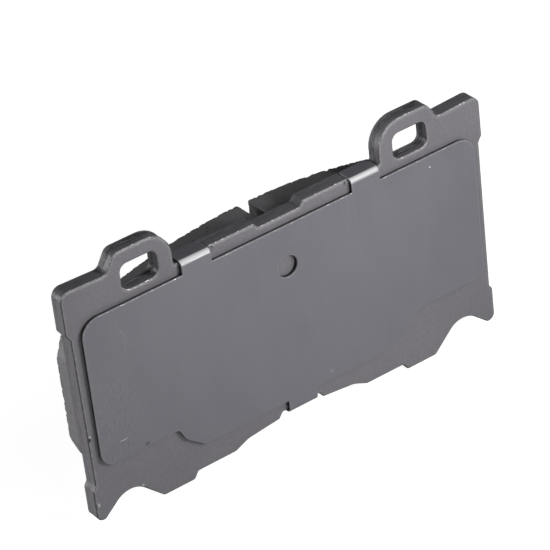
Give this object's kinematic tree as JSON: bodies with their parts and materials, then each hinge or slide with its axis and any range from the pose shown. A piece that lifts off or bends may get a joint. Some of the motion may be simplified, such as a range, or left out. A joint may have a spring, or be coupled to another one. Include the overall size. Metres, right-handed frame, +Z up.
{
  "type": "disc brake pad",
  "caption": "Disc brake pad for a fixed caliper: eared steel plate, bonded friction lining split by a cooling slot, and a clipped noise shim on the piston side.",
  "frame": {"origin": "middle of the bounding box at its bottom, where the two lower crests of the plate stand on the ground", "axes": "+X along the pad's length, +Y from the piston side through the plate towards the disc, +Z up to the ears, away from the hub"},
  "size_m": [0.148, 0.0186, 0.0855],
  "materials": {
    "plate_paint": "satin grey powder coat with fine orange peel",
    "cover_coating": "matt grey baked coating",
    "core_steel": "bare cold rolled sheet",
    "shim_rubber": "matt",
    "shim_glue": "cured pressure adhesive",
    "bond_glue": "cured phenolic film",
    "underlayer_mix": "dense moulded, matt",
    "friction_mix": "ground and granular, matt"
  },
  "bodies": {
    "root": {"backing_plate": "plate_paint", "bond_film": "bond_glue", "underlayer": "underlayer_mix", "friction_block_left": "friction_mix", "friction_block_right": "friction_mix", "shim_adhesive": "shim_glue", "inner_rubber_layer": "shim_rubber", "shim_core": "core_steel", "outer_rubber_layer": "shim_rubber", "cover_shim": "cover_coating"}
  },
  "joints": []
}
